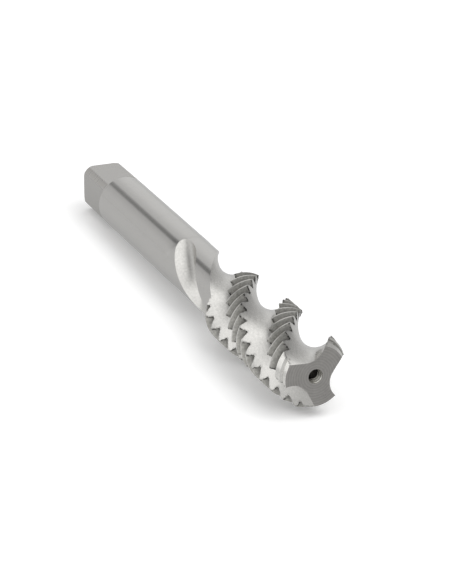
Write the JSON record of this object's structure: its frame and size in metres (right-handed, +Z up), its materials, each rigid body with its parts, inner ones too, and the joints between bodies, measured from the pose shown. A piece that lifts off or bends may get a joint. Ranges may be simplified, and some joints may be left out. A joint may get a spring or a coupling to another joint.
{
  "type": "spiral flute tap",
  "caption": "Ground steel tap with helical flutes and a square-ended plain shank, for cutting a right-hand internal thread.",
  "frame": {"origin": "on the tap's axis, at the end face of the drive square", "axes": "+X along the axis from the square end to the cutting tip; +Z up, square to one flat of the drive square"},
  "size_m": [0.089, 0.012, 0.012],
  "materials": {
    "tool_steel": "ground high-speed steel: satin shank, bright flutes, darker thread flanks, turned end face"
  },
  "bodies": {
    "root": {"spiral_flute_tap": "tool_steel"}
  },
  "joints": []
}
